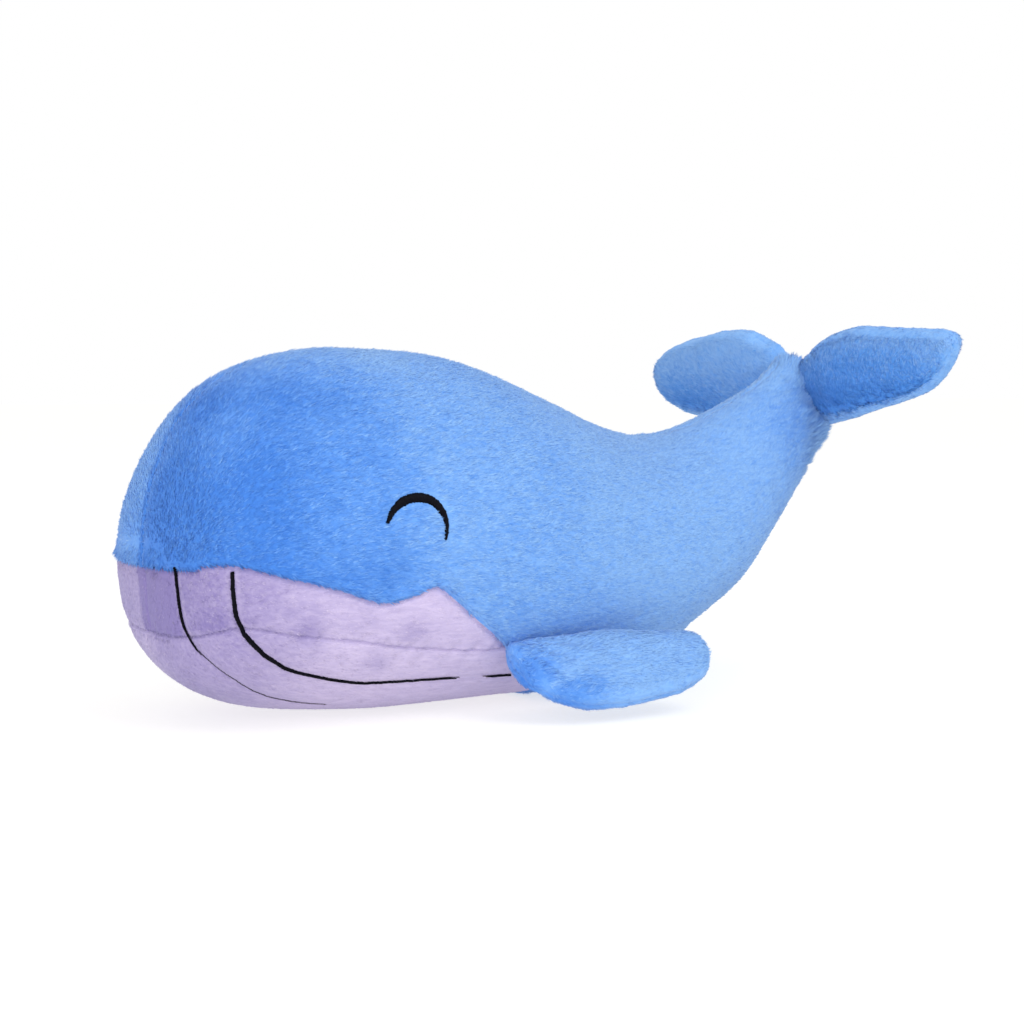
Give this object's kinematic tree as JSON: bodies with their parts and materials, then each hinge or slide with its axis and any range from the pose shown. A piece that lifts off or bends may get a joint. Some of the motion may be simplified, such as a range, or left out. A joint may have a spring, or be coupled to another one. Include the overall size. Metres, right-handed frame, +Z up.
{
  "type": "plush whale",
  "caption": "Small stuffed whale soft toy lying on its belly, with hinged flippers and tail flukes, blue back, lavender belly and embroidered eyes and throat lines.",
  "frame": {"origin": "on the surface the whale lies on, under the middle of its length, on the flat of the belly", "axes": "-X to the nose, +X to the tail, -Y to the whale's left side, +Z up"},
  "size_m": [0.2649, 0.1628, 0.1215],
  "materials": {
    "blue_plush": "short brushed pile",
    "deep_blue_plush": "short brushed pile",
    "lavender_plush": "short brushed pile",
    "black_thread": "satin stitch with a soft shine",
    "white_fibre": "loose polyester fibre"
  },
  "bodies": {
    "torso": {"body_filling": "white_fibre", "belly_panel": "lavender_plush", "tail_underside_panel": "blue_plush", "left_side_panel": "blue_plush", "right_side_panel": "blue_plush", "left_lip_panel": "lavender_plush", "right_lip_panel": "lavender_plush", "left_inner_throat_line": "black_thread", "right_inner_throat_line": "black_thread", "left_outer_throat_line": "black_thread", "right_outer_throat_line": "black_thread", "left_eye_stitch": "black_thread", "right_eye_stitch": "black_thread"},
    "left_flipper": {"left_flipper_upper_panel": "blue_plush", "left_flipper_lower_panel": "blue_plush", "left_flipper_filling": "white_fibre"},
    "right_flipper": {"right_flipper_upper_panel": "blue_plush", "right_flipper_lower_panel": "blue_plush", "right_flipper_filling": "white_fibre"},
    "left_fluke": {"left_fluke_upper_panel": "deep_blue_plush", "left_fluke_lower_panel": "deep_blue_plush", "left_fluke_filling": "white_fibre"},
    "right_fluke": {"right_fluke_upper_panel": "deep_blue_plush", "right_fluke_lower_panel": "deep_blue_plush", "right_fluke_filling": "white_fibre"}
  },
  "joints": [
    {"name": "left_flipper_swing", "type": "hinge", "parent": "torso", "child": "left_flipper", "pos_m": [-0.03745, -0.04503, 0.02614], "axis": [-0.9903, 0.1392, 0], "range_deg": [-8, 35], "stiffness_Nm_per_rad": 0.02},
    {"name": "right_flipper_swing", "type": "hinge", "parent": "torso", "child": "right_flipper", "pos_m": [-0.03745, 0.04503, 0.02614], "axis": [0.9903, 0.1392, 0], "range_deg": [-8, 35], "stiffness_Nm_per_rad": 0.02},
    {"name": "left_fluke_swing", "type": "hinge", "parent": "torso", "child": "left_fluke", "pos_m": [0.1228, -0.00899, 0.10058], "axis": [-0.2706, 0.0504, 0.9614], "range_deg": [-20, 20], "stiffness_Nm_per_rad": 0.03},
    {"name": "right_fluke_swing", "type": "hinge", "parent": "torso", "child": "right_fluke", "pos_m": [0.1228, 0.00899, 0.09964], "axis": [0.2706, -0.0504, -0.9614], "range_deg": [-20, 20], "stiffness_Nm_per_rad": 0.03}
  ]
}
